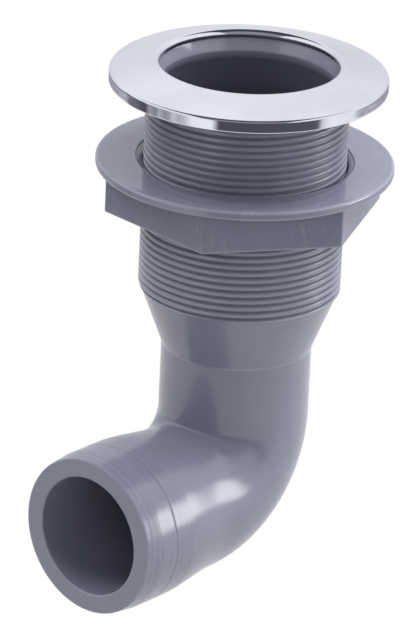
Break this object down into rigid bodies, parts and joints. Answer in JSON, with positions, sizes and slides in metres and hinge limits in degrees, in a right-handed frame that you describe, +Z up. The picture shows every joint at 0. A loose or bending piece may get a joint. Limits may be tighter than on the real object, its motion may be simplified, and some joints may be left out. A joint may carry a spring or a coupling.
{
  "type": "waste pipe elbow",
  "caption": "Grey plastic right-angle waste elbow: chromed flange and mouth on a threaded barrel with a flanged hexagon back nut, a tight bend and a flared hose spigot.",
  "frame": {"origin": "on the thread axis, in the plane where the flange seats on the panel", "axes": "+Z up out of the mouth along the thread axis, -Y along the outlet, X to the side"},
  "size_m": [0.088, 0.1075, 0.1573],
  "materials": {
    "grey_plastic": "satin moulded, cool mid grey",
    "bright_metal": "polished pressed sheet"
  },
  "bodies": {
    "fitting": {"elbow_body": "grey_plastic", "flange_cap": "bright_metal"},
    "nut": {"back_nut": "grey_plastic"}
  },
  "joints": [
    {"name": "nut_travel", "type": "slide", "parent": "fitting", "child": "nut", "axis": [0, 0, 1], "range_m": [-0.025, 0.0225]}
  ]
}
